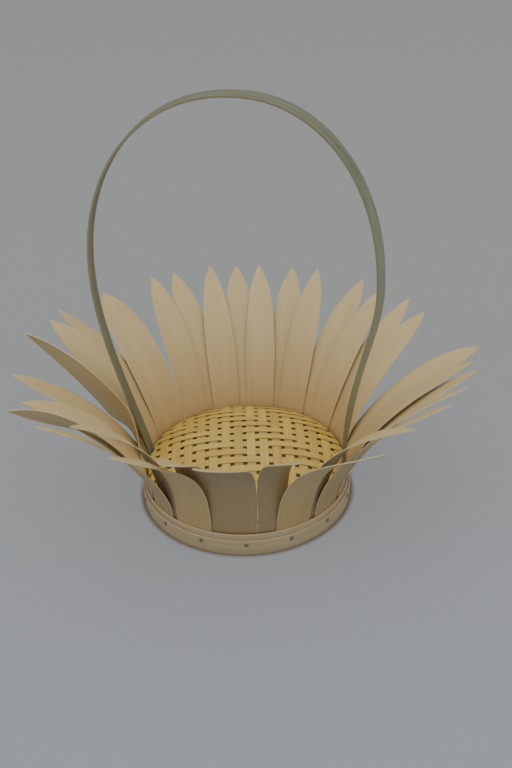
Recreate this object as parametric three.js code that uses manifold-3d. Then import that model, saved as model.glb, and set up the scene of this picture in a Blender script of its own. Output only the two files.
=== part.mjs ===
import * as THREE from 'three';
import { mergeVertices } from 'three/addons/utils/BufferGeometryUtils.js';
import Module from 'manifold-3d';

// A flower-shaped splint basket: pointed wood petals held in a round hoop, a woven floor
// and a bent strip handle. Millimetres, +Z up. Every piece is made about the hoop's axis,
// and at the end the whole basket is moved so that the origin lies under the middle of its
// extents, on the surface that it stands on.

// Clearance between pieces that are pressed together
const FIT = 0.3;

// Hoops: two plies of thin wood outside the petals
const HOOP_RADIUS = 100;
const HOOP_PLY = 1.2;
const OUTER_HOOP_HEIGHT = 15;
const INNER_HOOP_HEIGHT = 21;
const SCARF_LENGTH = 34;
const SCARF_TIP = 0.25;
const OUTER_SCARF_AZIMUTH = -174;
const INNER_SCARF_AZIMUTH = 90;

// Liner: two half hoops inside the petals, between the handle's ends, that take the tacks
// and carry the woven floor's edge
const LINER_LIFT = 0.6;
const LINER_DROP = 4.5;

// Petals: thin splints, pointed at the top, with their feet in the hoop
const PETAL_THICKNESS = 0.9;
const PETAL_LENGTH = 168;
const PETAL_FOOT_LIFT = 1.5;
const PETAL_TAPER = 6;
const PETAL_TIP_BLUNTNESS = 0.75;
const PETAL_TIP_WIDTH = 0.6;
const PETAL_WAIST = 0.45;
const PETAL_ROOT = 18;
const SWEEP_GROWTH = 2;

// How far a petal's tip is bent outwards, and how much of that is a lean at its root, both
// in degrees and for every 20 degrees of azimuth, counted from +X
const FLARE = [74, 68, 68, 67, 69, 67, 67, 66, 63, 77, 68, 64, 67, 70, 67, 71, 68, 72];
const ROOT_LEAN = [21, 15, 15, 14, 16, 15, 14, 16, 12, 22, 16, 10, 0, 0, 0, 2, 10, 18];

// The two rings of petals, set by hand as in the real basket. Each petal has its azimuth and
// how far its tip is swept round the hoop, in degrees.
const INNER_PETALS = [
  [-98, 2], [-76, -2], [-53, 10], [-30, 13.5], [-8, 8.5], [15, 11], [38, 5], [58, 7.5], [79, 5],
  [101, -2], [121, -3.5], [138.5, -4], [162, -2.5], [183, -8.5], [204.5, -10], [222, -3], [241, 6],
];
const OUTER_PETALS = [
  [-64.5, 8.5], [-42, 13.5], [-19, 16], [3, 5], [26, 8.5], [48, 3.5], [69, 5],
  [90, 1], [110, 0], [152, -1], [173, -14.5], [194, -6.5], [216, -5.5], [239.5, -4],
];
const INNER_FOOT_WIDTH = 26.5;
const INNER_WIDTH = 30.5;
const OUTER_FOOT_WIDTH = 37;
const OUTER_WIDTH = 33;
const PETAL_SEAM = 3.8;
const OUTER_EXTRA_FLARE = 2;
const OUTER_EXTRA_LEAN = 1.8;

// Petals unlike the rest of their ring: cut wider or shorter, leaning further out at the
// root, bent further at the tip, or warped. A warp turns the blade by so many degrees about a
// line along it, where the edges are -1 and 1, between two shares of its length. A blade that
// is flat again further out has the share where it is.
const ODD_PETALS = {
  petal_inner_01: { footWidth: 42, width: 40 },
  petal_inner_12: { footWidth: 25.3, width: 35 },
  petal_inner_14: { extraLean: 2.5 },
  petal_inner_15: { extraLean: 0.5, extraFlare: 12, warp: { turn: 55, about: -1, from: 0.35, to: 1 } },
  petal_outer_04: { extraLean: 4, warp: { turn: -50, about: -1, from: 0.05, to: 0.36, flatAt: 1 } },
  petal_outer_11: {
    length: 176,
    extraLean: 9,
    extraFlare: -9,
    warp: { turn: 60, about: 0.4, from: 0.36, to: 0.6 },
  },
  petal_outer_12: { length: 150, extraLean: 6, extraFlare: -1 },
  petal_outer_13: { extraLean: 4, extraFlare: -4 },
  petal_outer_14: { footWidth: 35.8, width: 37 },
};

// Woven floor: a twill of flat splints on a low dome, turned down round its edge
const SPLINT_PITCH = 12;
const SPLINT_WIDTH = 8.8;
const SPLINT_THICKNESS = 1;
const WEAVE_FLOAT = 3;
const WEAVE_SHIFT_X = 5.2;
const WEAVE_SHIFT_Y = -3.4;
const FLOOR_EDGE_HEIGHT = 34;
const FLOOR_CROWN = 20.4;
const FLOOR_CROWN_POWER = 2.5;
const FLOOR_SHOULDER = 4;

// Handle: one bent strip whose ends stand in the hoop, inside the petals
const HANDLE_THICKNESS = 2.6;
const HANDLE_WIDTH = 12;
const HANDLE_EDGE = 0.5;
const HANDLE_HEIGHT = 388;
const HANDLE_WIDEST_HEIGHT = 222;
const HANDLE_REACH_RIGHT = 122;
const HANDLE_REACH_LEFT = 134;
const HANDLE_RISE_RIGHT = 110;
const HANDLE_RISE_LEFT = 30;
const HANDLE_SETTLE_RIGHT = 50;
const HANDLE_SETTLE_LEFT = 80;
const HANDLE_ARCH_POWER = 2.12;
const HANDLE_TWIST = 24;
const HANDLE_TURN = -12.2;
const HANDLE_FOOT_LIFT = 1.5;

// Tacks through the whole wall of the hoop
const TACK_COUNT = 15;
const TACK_FIRST_AZIMUTH = -43.5;
const TACK_HEIGHT = 10.5;
const TACK_HEAD_RADIUS = 2;
const TACK_HEAD_HEIGHT = 0.9;
const TACK_SHANK_RADIUS = 0.7;

// Radii that follow from these, from the outside in
const innerHoopRadius = HOOP_RADIUS - HOOP_PLY - FIT;
const outerRingFoot = innerHoopRadius - HOOP_PLY - FIT - PETAL_THICKNESS / 2;
const innerRingFoot = outerRingFoot - PETAL_THICKNESS - FIT;
const wallInside = innerRingFoot - PETAL_THICKNESS / 2 - FIT;
const floorThickness = 2 * SPLINT_THICKNESS;
const handleSag = wallInside - Math.sqrt(wallInside ** 2 - (HANDLE_WIDTH / 2) ** 2);
const handleFootRadius = wallInside - handleSag - HANDLE_THICKNESS / 2;
const linerInside = handleFootRadius - HANDLE_THICKNESS / 2;
const linerTop = FLOOR_EDGE_HEIGHT - LINER_DROP;

const wasm = await Module();
wasm.setup();

const basket = new THREE.Group();
const radians = THREE.MathUtils.degToRad;

// Solids and booleans

function toSolid(geometry) {
  const bare = geometry.clone();
  bare.deleteAttribute('normal');
  bare.deleteAttribute('uv');
  const merged = mergeVertices(bare, 1e-4);
  return new wasm.Manifold(new wasm.Mesh({
    numProp: 3,
    vertProperties: new Float32Array(merged.attributes.position.array),
    triVerts: new Uint32Array(merged.index.array),
  }));
}

function toGeometry(solid) {
  const mesh = solid.getMesh();
  const geometry = new THREE.BufferGeometry();
  geometry.setAttribute('position', new THREE.BufferAttribute(mesh.vertProperties, 3));
  geometry.setIndex(new THREE.BufferAttribute(mesh.triVerts, 1));
  geometry.computeVertexNormals();
  return geometry;
}

// A closed skin from a list of faces, each a list of points in order round its edge, seen
// from outside
function facesGeometry(faces) {
  const positions = [];
  for (const face of faces) {
    for (let i = 1; i < face.length - 1; i++) {
      for (const point of [face[0], face[i], face[i + 1]]) positions.push(point.x, point.y, point.z);
    }
  }
  const geometry = new THREE.BufferGeometry();
  geometry.setAttribute('position', new THREE.Float32BufferAttribute(positions, 3));
  geometry.computeVertexNormals();
  return geometry;
}

// A solid bar through a list of rings of points. Each ring runs along one face of the bar
// and back along the other, and the ends are flat. The quads of both faces are split the same
// way, so that a twisted bar keeps its thickness.
function ringsGeometry(rings) {
  const faces = [];
  const last = rings[0].length - 1;
  for (let i = 0; i < rings.length - 1; i++) {
    for (let j = 0; j < rings[i].length; j++) {
      const k = (j + 1) % rings[i].length;
      const quad = [rings[i][j], rings[i][k], rings[i + 1][k], rings[i + 1][j]];
      if (j > last / 2) quad.push(quad.shift());
      faces.push(quad);
    }
  }
  const endFace = (ring, j) => [ring[j], ring[j + 1], ring[last - 1 - j], ring[last - j]];
  for (let j = 0; j < (last - 1) / 2; j++) {
    faces.push(endFace(rings[0], j).reverse());
    faces.push(endFace(rings[rings.length - 1], j));
  }
  return facesGeometry(faces);
}

function addPiece(name, geometry, look) {
  const mesh = new THREE.Mesh(geometry, new THREE.MeshStandardMaterial(look));
  mesh.name = name;
  basket.add(mesh);
}

// Finishes

const PETAL_WOOD = { color: 0xb09e7e, roughness: 0.62, metalness: 0 };
const HOOP_WOOD = { color: 0xa3977c, roughness: 0.6, metalness: 0 };
const YELLOW_SPLINT = { color: 0xbea55f, roughness: 0.55, metalness: 0 };
const GREEN_WOOD = { color: 0x706c4e, roughness: 0.55, metalness: 0 };
const TACK_STEEL = { color: 0x5a5148, roughness: 0.5, metalness: 0.7 };

// Tacks: a domed head on a straight shank, driven in from outside through every layer

// Turns a shape that runs along +Y to point outwards from the basket's axis
function pointOutwards(geometry, azimuth) {
  geometry.rotateZ(radians(azimuth - 90));
  geometry.translate(0, 0, TACK_HEIGHT);
  return geometry;
}

function tackGeometry() {
  const headSeat = HOOP_RADIUS + FIT;
  const profile = [
    new THREE.Vector2(0, linerInside),
    new THREE.Vector2(TACK_SHANK_RADIUS, linerInside),
    new THREE.Vector2(TACK_SHANK_RADIUS, headSeat),
    new THREE.Vector2(TACK_HEAD_RADIUS, headSeat),
    new THREE.Vector2(TACK_HEAD_RADIUS * 0.7, headSeat + TACK_HEAD_HEIGHT * 0.75),
    new THREE.Vector2(0, headSeat + TACK_HEAD_HEIGHT),
  ];
  return toGeometry(toSolid(new THREE.LatheGeometry(profile, 8)));
}

const tackAzimuths = Array.from(
  { length: TACK_COUNT },
  (_, i) => TACK_FIRST_AZIMUTH + (i * 360) / TACK_COUNT,
);

const tackHoles = tackAzimuths.map((azimuth) => {
  const radius = TACK_SHANK_RADIUS + FIT;
  const length = HOOP_RADIUS - linerInside + 2 * FIT;
  const hole = new THREE.CylinderGeometry(radius, radius, length, 6);
  hole.translate(0, (HOOP_RADIUS + linerInside) / 2, 0);
  return { azimuth, solid: toSolid(pointOutwards(hole, azimuth)) };
});

// Takes the tacks' holes out of a piece that spans the given azimuths
function withTackHoles(geometry, middle = 0, reach = 180) {
  let solid = toSolid(geometry);
  for (const { azimuth, solid: hole } of tackHoles) {
    const apart = THREE.MathUtils.euclideanModulo(azimuth - middle + 180, 360) - 180;
    if (Math.abs(apart) <= reach) solid = solid.subtract(hole);
  }
  return toGeometry(solid);
}

// Hoops: a strip bent round once, its two ends shaved thin and lapped in a long scarf

function hoopGeometry(radius, height, scarfAzimuth) {
  const steps = 60;
  const lapSteps = 5;
  const lap = SCARF_LENGTH / radius;
  const slit = FIT / radius;
  const inside = radius - HOOP_PLY;
  const outline = [];
  const addRun = (from, to, count, radiusAt) => {
    for (let i = 0; i <= count; i++) {
      const share = i / count;
      const angle = from + (to - from) * share + radians(scarfAzimuth);
      const distance = radiusAt(share);
      outline.push(new THREE.Vector2(distance * Math.cos(angle), distance * Math.sin(angle)));
    }
  };
  const full = 2 * Math.PI;
  const taper = HOOP_PLY - 2 * SCARF_TIP - FIT;
  addRun(lap, full + lap - slit, steps + lapSteps, () => radius);
  addRun(full + lap - slit, full, lapSteps, (share) => radius - SCARF_TIP - taper * share);
  addRun(full, slit, steps + lapSteps, () => inside);
  addRun(slit, lap, lapSteps, (share) => inside + SCARF_TIP + taper * share);
  const shape = new THREE.Shape(outline);
  return new THREE.ExtrudeGeometry(shape, { depth: height, bevelEnabled: false });
}

addPiece(
  'outer_hoop',
  withTackHoles(hoopGeometry(HOOP_RADIUS, OUTER_HOOP_HEIGHT, OUTER_SCARF_AZIMUTH)),
  HOOP_WOOD,
);
addPiece(
  'inner_hoop',
  withTackHoles(hoopGeometry(innerHoopRadius, INNER_HOOP_HEIGHT, INNER_SCARF_AZIMUTH)),
  HOOP_WOOD,
);

// Petals: each bends outwards along two tangent arcs, and its width swells and then runs
// to a point

// The value at an azimuth of a list given at even steps round the hoop
function around(values, azimuth) {
  const place = THREE.MathUtils.euclideanModulo(azimuth, 360) * values.length / 360;
  const k = Math.floor(place);
  const t = place - k;
  const at = (offset) => values[(k + offset + values.length) % values.length];
  const [a, b, c, d] = [at(-1), at(0), at(1), at(2)];
  const cubic = (3 * (b - c) + d - a) * t ** 3 + (2 * a - 5 * b + 4 * c - d) * t ** 2;
  return b + ((c - a) * t + cubic) / 2;
}

// The far end of an arc that starts at a place and slope in the radial plane
function arcEnd({ r, z, slope }, turn, length) {
  const chord = turn === 0 ? length : (length * Math.sin(turn / 2)) / (turn / 2);
  const heading = slope + turn / 2;
  return { r: r + chord * Math.sin(heading), z: z + chord * Math.cos(heading), slope: slope + turn };
}

// The petal's middle surface in the radial plane, at a distance along it from the hoop's top
function petalProfile(petal, azimuth, distance) {
  const flare = around(FLARE, azimuth) + petal.extraFlare;
  const lean = around(ROOT_LEAN, azimuth) + petal.extraLean;
  const bend = radians(flare - lean) / PETAL_LENGTH;
  const root = THREE.MathUtils.clamp(distance, 0, PETAL_ROOT);
  const foot = { r: petal.footRadius, z: INNER_HOOP_HEIGHT + Math.min(distance, 0), slope: 0 };
  const rootEnd = arcEnd(foot, (radians(lean) / PETAL_ROOT + bend) * root, root);
  const rest = Math.max(distance - PETAL_ROOT, 0);
  return arcEnd(rootEnd, bend * rest, rest);
}

function petalWidth({ footWidth, width }, share) {
  const waist = Math.max(0, 1 - share / PETAL_WAIST) ** 2;
  const full = width + (footWidth - width) * waist;
  const point = (1 - share ** PETAL_TAPER) ** PETAL_TIP_BLUNTNESS;
  return Math.max(full * point, PETAL_TIP_WIDTH);
}

const PETAL_STATIONS = [0.14, 0.36, 0.6, 0.8, 0.93, 1];
const PETAL_COLUMNS = [-1, -1 / 3, 1 / 3, 1];

// How far a warped petal is turned at a share of its length
function warpTurn({ turn, from, to, flatAt }, share) {
  const back = flatAt ? THREE.MathUtils.smoothstep(share, to, flatAt) : 0;
  return radians(turn) * (THREE.MathUtils.smoothstep(share, from, to) - back);
}

// One row of places across the petal, each with the way that the petal faces there
function petalRow(petal, distance) {
  const share = Math.max(distance, 0) / petal.length;
  const half = petalWidth(petal, share) / 2;
  const middle = petalProfile(petal, petal.azimuth, distance).r;
  const up = new THREE.Vector3(0, 0, 1);
  const placeAt = (column) => {
    const base = petal.azimuth + THREE.MathUtils.radToDeg((column * half) / middle);
    const { r, z, slope } = petalProfile(petal, base, distance);
    const angle = radians(base + petal.sweep * share ** SWEEP_GROWTH);
    const out = new THREE.Vector3(Math.cos(angle), Math.sin(angle), 0);
    return {
      point: out.clone().multiplyScalar(r).addScaledVector(up, z),
      along: out.clone().multiplyScalar(Math.sin(slope)).addScaledVector(up, Math.cos(slope)),
      facing: out.clone().multiplyScalar(Math.cos(slope)).addScaledVector(up, -Math.sin(slope)),
    };
  };
  const row = PETAL_COLUMNS.map(placeAt);
  if (petal.warp) {
    const { point: still, along } = placeAt(petal.warp.about);
    const angle = warpTurn(petal.warp, share);
    for (const { point, facing } of row) {
      point.sub(still).applyAxisAngle(along, angle).add(still);
      facing.applyAxisAngle(along, angle);
    }
  }
  return row;
}

function petalGeometry(petal) {
  const distances = [
    PETAL_FOOT_LIFT - INNER_HOOP_HEIGHT,
    0,
    ...PETAL_STATIONS.map((share) => share * petal.length),
  ];
  const rings = distances.map((distance) => {
    const row = petalRow(petal, distance);
    const face = (side) => row.map(({ point, facing }) => (
      point.clone().addScaledVector(facing, (side * PETAL_THICKNESS) / 2)
    ));
    return [...face(1), ...face(-1).reverse()];
  });
  return ringsGeometry(rings);
}

// The foot is no wider than leaves a seam to the nearest petal of its ring
function footWidthIn(ring, azimuth) {
  const spacings = ring.petals
    .filter(([other]) => other !== azimuth)
    .map(([other]) => Math.abs(THREE.MathUtils.euclideanModulo(other - azimuth + 180, 360) - 180));
  return Math.min(ring.footWidth, radians(Math.min(...spacings)) * ring.footRadius - PETAL_SEAM);
}

const petalRings = [
  {
    name: 'petal_inner',
    petals: INNER_PETALS,
    footRadius: innerRingFoot,
    footWidth: INNER_FOOT_WIDTH,
    width: INNER_WIDTH,
    extraFlare: 0,
    extraLean: 0,
  },
  {
    name: 'petal_outer',
    petals: OUTER_PETALS,
    footRadius: outerRingFoot,
    footWidth: OUTER_FOOT_WIDTH,
    width: OUTER_WIDTH,
    extraFlare: OUTER_EXTRA_FLARE,
    extraLean: OUTER_EXTRA_LEAN,
  },
];

for (const ring of petalRings) {
  ring.petals.forEach(([azimuth, sweep], i) => {
    const name = `${ring.name}_${String(i + 1).padStart(2, '0')}`;
    const { footRadius, width, extraLean, extraFlare } = ring;
    const petal = {
      azimuth,
      sweep,
      footRadius,
      footWidth: footWidthIn(ring, azimuth),
      width,
      length: PETAL_LENGTH,
      extraLean,
      extraFlare,
    };
    for (const [key, value] of Object.entries(ODD_PETALS[name] ?? {})) {
      petal[key] = key.startsWith('extra') ? petal[key] + value : value;
    }
    const reach = THREE.MathUtils.radToDeg((petal.footWidth / 2 + 2 * TACK_HEAD_RADIUS) / footRadius);
    addPiece(name, withTackHoles(petalGeometry(petal), azimuth, reach), PETAL_WOOD);
  });
}

// Liner: each half fills the wall from one end of the handle round to the other

function linerGeometry(turn) {
  const steps = 30;
  const atEnd = (radius) => Math.asin((HANDLE_WIDTH / 2 + FIT) / radius);
  const outline = [];
  for (const radius of [wallInside, linerInside]) {
    const start = atEnd(radius);
    const arc = Array.from({ length: steps + 1 }, (_, i) => start + ((Math.PI - 2 * start) * i) / steps);
    if (radius === linerInside) arc.reverse();
    for (const angle of arc) {
      outline.push(new THREE.Vector2(radius * Math.cos(angle), radius * Math.sin(angle)));
    }
  }
  const depth = linerTop - LINER_LIFT;
  const liner = new THREE.ExtrudeGeometry(new THREE.Shape(outline), { depth, bevelEnabled: false });
  return liner.translate(0, 0, LINER_LIFT).rotateZ(radians(turn));
}

addPiece('liner_back', withTackHoles(linerGeometry(HANDLE_TURN)), HOOP_WOOD);
addPiece('liner_front', withTackHoles(linerGeometry(HANDLE_TURN + 180)), HOOP_WOOD);

// Handle: the strip rises out of the hoop, leans to its widest and closes in a round arch

const HANDLE_LEG_STEPS = 7;
const HANDLE_ARCH_STEPS = 10;

// One side's centre line in the handle's own plane, from its foot to the top
function handleSide(side) {
  const [reach, rise, settle] = side > 0
    ? [HANDLE_REACH_RIGHT, HANDLE_RISE_RIGHT, HANDLE_SETTLE_RIGHT]
    : [HANDLE_REACH_LEFT, HANDLE_RISE_LEFT, HANDLE_SETTLE_LEFT];
  const leg = new THREE.CubicBezierCurve(
    new THREE.Vector2(handleFootRadius, INNER_HOOP_HEIGHT),
    new THREE.Vector2(handleFootRadius, INNER_HOOP_HEIGHT + rise),
    new THREE.Vector2(reach, HANDLE_WIDEST_HEIGHT - settle),
    new THREE.Vector2(reach, HANDLE_WIDEST_HEIGHT),
  );
  const foot = new THREE.Vector2(handleFootRadius, HANDLE_FOOT_LIFT);
  const points = [foot, ...leg.getPoints(HANDLE_LEG_STEPS)];
  for (let i = 1; i <= HANDLE_ARCH_STEPS; i++) {
    const angle = (Math.PI / 2) * (i / HANDLE_ARCH_STEPS);
    const power = 2 / HANDLE_ARCH_POWER;
    const cosine = i === HANDLE_ARCH_STEPS ? 0 : Math.cos(angle);
    const height = HANDLE_HEIGHT - HANDLE_THICKNESS / 2 - HANDLE_WIDEST_HEIGHT;
    points.push(new THREE.Vector2(
      reach * cosine ** power,
      HANDLE_WIDEST_HEIGHT + height * Math.sin(angle) ** power,
    ));
  }
  return points.map(({ x, y }) => new THREE.Vector3(side * x, 0, y));
}

// The strip's section at a point of its centre line, square to the way that it runs
function handleSection(point, before, after) {
  const along = new THREE.Vector3().subVectors(after, before).normalize();
  const lift = THREE.MathUtils.smoothstep(point.z, FLOOR_EDGE_HEIGHT, 3 * FLOOR_EDGE_HEIGHT);
  const rightward = (1 + THREE.MathUtils.clamp(point.x / HANDLE_REACH_RIGHT, -1, 1)) / 2;
  const twist = radians(HANDLE_TWIST) * lift * rightward ** 2;
  const across = new THREE.Vector3(0, 1, 0).applyAxisAngle(along, twist);
  const out = new THREE.Vector3().crossVectors(across, along);
  const [w, t, e] = [HANDLE_WIDTH / 2, HANDLE_THICKNESS / 2, HANDLE_EDGE];
  const corners = [
    [w, e - t], [w - e, -t], [e - w, -t], [-w, e - t],
    [-w, t - e], [e - w, t], [w - e, t], [w, t - e],
  ];
  return corners.map(([a, b]) => point.clone().addScaledVector(across, a).addScaledVector(out, b));
}

function handleGeometry() {
  const line = [...handleSide(-1), ...handleSide(1).reverse().slice(1)];
  const last = line.length - 1;
  const rings = line.map((point, i) => (
    handleSection(point, line[Math.max(i - 1, 0)], line[Math.min(i + 1, last)])
  ));
  return ringsGeometry(rings).rotateZ(radians(HANDLE_TURN));
}

addPiece('handle', withTackHoles(handleGeometry()), GREEN_WOOD);

// Woven floor: flat splints both ways, each passing over three and under three, with a
// square hole at every corner between them

function domeHeight(radius) {
  return FLOOR_EDGE_HEIGHT + FLOOR_CROWN * (1 - (radius / wallInside) ** FLOOR_CROWN_POWER);
}

// Whether the splint along X passes over the splint along Y where the two cross
function runsOver(column, row) {
  return THREE.MathUtils.euclideanModulo(column + row - 2, 2 * WEAVE_FLOAT) < WEAVE_FLOAT;
}

// The splints out to a reach, as one skin: u runs along a splint and v across it, and drop
// is the depth below the dome, down to a splint's thickness where it dives under another
function weaveGeometry(reach) {
  const faces = [];
  const addRun = (alongX, u0, u1, v0, v1, drop0, drop1) => {
    const at = (u, v, drop) => {
      const [x, y] = alongX ? [u, v] : [v, u];
      return new THREE.Vector3(x, y, domeHeight(Math.hypot(x, y)) - drop);
    };
    const add = (...face) => faces.push(alongX ? face : face.reverse());
    const addWall = (ua, va, dropA, ub, vb, dropB) => {
      const a = at(ua, va, SPLINT_THICKNESS);
      const b = at(ub, vb, SPLINT_THICKNESS);
      add(at(ua, va, floorThickness), at(ub, vb, floorThickness), b, a);
      const top = [];
      if (dropB === 0) top.push(at(ub, vb, 0));
      if (dropA === 0) top.push(at(ua, va, 0));
      if (top.length > 0) add(a, b, ...top);
    };
    add(at(u0, v0, drop0), at(u1, v0, drop1), at(u1, v1, drop1), at(u0, v1, drop0));
    const under = floorThickness;
    add(at(u0, v0, under), at(u0, v1, under), at(u1, v1, under), at(u1, v0, under));
    return { at, add, addWall };
  };
  const count = Math.ceil(reach / SPLINT_PITCH) + 1;
  const gap = SPLINT_PITCH - SPLINT_WIDTH;
  const start = (shift, i) => shift + i * SPLINT_PITCH - SPLINT_WIDTH / 2;
  const addGap = (alongX, u, v, isUnder0, isUnder1) => {
    const [drop0, drop1] = [isUnder0, isUnder1].map((isUnder) => (isUnder ? SPLINT_THICKNESS : 0));
    const [u1, v1] = [u + gap, v + SPLINT_WIDTH];
    const { at, add, addWall } = addRun(alongX, u, u1, v, v1, drop0, drop1);
    addWall(u, v, drop0, u1, v, drop1);
    addWall(u1, v1, drop1, u, v1, drop0);
    const low = SPLINT_THICKNESS;
    if (isUnder0) add(at(u, v, low), at(u, v1, low), at(u, v1, 0), at(u, v, 0));
    if (isUnder1) add(at(u1, v1, low), at(u1, v, low), at(u1, v, 0), at(u1, v1, 0));
  };
  for (let column = -count; column <= count; column++) {
    for (let row = -count; row <= count; row++) {
      const x = start(WEAVE_SHIFT_X, column);
      const y = start(WEAVE_SHIFT_Y, row);
      const [x1, y1] = [x + SPLINT_WIDTH, y + SPLINT_WIDTH];
      const { addWall } = addRun(true, x, x1, y, y1, 0, 0);
      if (row === -count) addWall(x, y, 0, x1, y, 0);
      if (column === count) addWall(x1, y, 0, x1, y1, 0);
      if (row === count) addWall(x1, y1, 0, x, y1, 0);
      if (column === -count) addWall(x, y1, 0, x, y, 0);
      const over = runsOver(column, row);
      if (column < count) addGap(true, x1, y, !over, !runsOver(column + 1, row));
      if (row < count) addGap(false, y1, x, over, runsOver(column, row + 1));
    }
  }
  return facesGeometry(faces);
}

// The edge, where the splints turn down over a round shoulder and end on the liner
function floorEdge() {
  const dip = FLOOR_CROWN * FLOOR_CROWN_POWER / wallInside;
  const arcStart = Math.atan(1 / dip);
  const joinRadius = wallInside - FLOOR_SHOULDER * (1 - Math.cos(arcStart));
  const centre = new THREE.Vector2(
    wallInside - FLOOR_SHOULDER,
    domeHeight(joinRadius) - FLOOR_SHOULDER * Math.sin(arcStart),
  );
  const arc = (radius, angle) => new THREE.Vector2(
    centre.x + radius * Math.cos(angle),
    centre.y + radius * Math.sin(angle),
  );
  const weaveRadius = joinRadius - floorThickness / 4;
  const innerRadius = weaveRadius - floorThickness / 2;
  const inset = floorThickness / 6;
  const steps = 3;
  const angles = Array.from({ length: steps + 1 }, (_, i) => arcStart * (i / steps));
  const profile = [
    new THREE.Vector2(innerRadius, domeHeight(innerRadius) - floorThickness + inset),
    arc(FLOOR_SHOULDER - floorThickness, arcStart),
    arc(FLOOR_SHOULDER - floorThickness, 0),
    new THREE.Vector2(wallInside - floorThickness, linerTop + FIT),
    new THREE.Vector2(wallInside, linerTop + FIT),
    ...angles.map((angle) => arc(FLOOR_SHOULDER, angle)),
    new THREE.Vector2(innerRadius, domeHeight(innerRadius) - inset),
  ];
  profile.push(profile[0].clone());
  return { weaveRadius, geometry: new THREE.LatheGeometry(profile, 48).rotateX(Math.PI / 2) };
}

function wovenFloorGeometry() {
  const edge = floorEdge();
  const height = FLOOR_EDGE_HEIGHT + FLOOR_CROWN;
  const round = new THREE.CylinderGeometry(edge.weaveRadius, edge.weaveRadius, 2 * height, 48)
    .rotateX(Math.PI / 2)
    .translate(0, 0, height / 2);
  const reach = edge.weaveRadius + SPLINT_PITCH;
  const floor = toSolid(weaveGeometry(reach)).intersect(toSolid(round)).add(toSolid(edge.geometry));
  const inside = linerInside - FIT;
  const outside = wallInside + FIT;
  const notches = [-1, 1].map((side) => {
    const notch = new THREE.BoxGeometry(outside - inside, HANDLE_WIDTH + 2 * FIT, 2 * height);
    notch.translate((side * (outside + inside)) / 2, 0, height / 2);
    return toSolid(notch.rotateZ(radians(HANDLE_TURN)));
  });
  return toGeometry(floor.subtract(notches[0]).subtract(notches[1]));
}

addPiece('woven_floor', wovenFloorGeometry(), YELLOW_SPLINT);

// The tacks, driven in last
tackAzimuths.forEach((azimuth, i) => {
  const name = `tack_${String(i + 1).padStart(2, '0')}`;
  addPiece(name, pointOutwards(tackGeometry(), azimuth), TACK_STEEL);
});

// The petals reach a little further at the back than at the front
const middle = new THREE.Box3().setFromObject(basket).getCenter(new THREE.Vector3());
basket.position.set(-middle.x, -middle.y, 0);

export default basket;
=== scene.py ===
"""A flower-shaped splint basket: pale wood petals in a round hoop, a woven yellow floor and
a bent green strip for a handle. Metres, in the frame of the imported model."""

import bpy
import numpy as np
from mathutils import Matrix, Vector


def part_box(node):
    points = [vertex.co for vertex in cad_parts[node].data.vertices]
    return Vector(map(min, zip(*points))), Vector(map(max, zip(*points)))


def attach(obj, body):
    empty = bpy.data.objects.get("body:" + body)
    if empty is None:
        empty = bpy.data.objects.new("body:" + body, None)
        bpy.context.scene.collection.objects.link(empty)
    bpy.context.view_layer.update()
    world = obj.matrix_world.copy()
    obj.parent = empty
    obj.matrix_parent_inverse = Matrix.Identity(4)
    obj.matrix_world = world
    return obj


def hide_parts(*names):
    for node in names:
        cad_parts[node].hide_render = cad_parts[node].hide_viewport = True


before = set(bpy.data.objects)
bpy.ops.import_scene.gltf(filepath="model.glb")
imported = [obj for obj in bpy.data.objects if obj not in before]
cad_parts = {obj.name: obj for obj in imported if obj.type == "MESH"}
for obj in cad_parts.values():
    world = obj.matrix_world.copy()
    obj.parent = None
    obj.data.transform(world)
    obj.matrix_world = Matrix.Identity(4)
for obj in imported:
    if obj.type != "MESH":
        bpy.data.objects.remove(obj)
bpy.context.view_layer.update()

# The hoop's axis, about which everything is set out. The outer hoop is round, so the axis
# goes through the middle of its box.
hoop_low, hoop_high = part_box("outer_hoop")
AXIS = np.array([(hoop_low.x + hoop_high.x) / 2, (hoop_low.y + hoop_high.y) / 2, 0.0])


# Camera
# The photograph looks down into the flower from in front, a little over a metre away, with
# the basket a touch below the middle of a tall picture. The angles are in radians, and the
# height angle is the camera's own above the table, seen from the hoop.
CAMERA_DISTANCE = 1.0469
CAMERA_HEIGHT_ANGLE = 0.6518
CAMERA_YAW = 0.0138
CAMERA_PITCH = 0.5563
CAMERA_ROLL = -0.0286
CAMERA_LENS_MM = 50.0
CAMERA_SENSOR_MM = 36.0

camera_data = bpy.data.cameras.new("photo_camera")
camera_data.lens = CAMERA_LENS_MM
camera_data.sensor_width = CAMERA_SENSOR_MM
camera_data.clip_end = 20.0
camera = bpy.data.objects.new("photo_camera", camera_data)
bpy.context.scene.collection.objects.link(camera)
camera_place = Vector(AXIS) + CAMERA_DISTANCE * Vector(
    (0.0, -np.cos(CAMERA_HEIGHT_ANGLE), np.sin(CAMERA_HEIGHT_ANGLE)))
view_line = Vector((np.sin(CAMERA_YAW) * np.cos(CAMERA_PITCH),
                    np.cos(CAMERA_YAW) * np.cos(CAMERA_PITCH),
                    -np.sin(CAMERA_PITCH)))
level_right = view_line.cross(Vector((0.0, 0.0, 1.0))).normalized()
level_up = level_right.cross(view_line)
picture_right = level_right * np.cos(CAMERA_ROLL) + level_up * np.sin(CAMERA_ROLL)
picture_up = level_up * np.cos(CAMERA_ROLL) - level_right * np.sin(CAMERA_ROLL)
camera.matrix_world = Matrix((
    (picture_right.x, picture_up.x, -view_line.x, camera_place.x),
    (picture_right.y, picture_up.y, -view_line.y, camera_place.y),
    (picture_right.z, picture_up.z, -view_line.z, camera_place.z),
    (0.0, 0.0, 0.0, 1.0)))
bpy.context.scene.camera = camera


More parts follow.
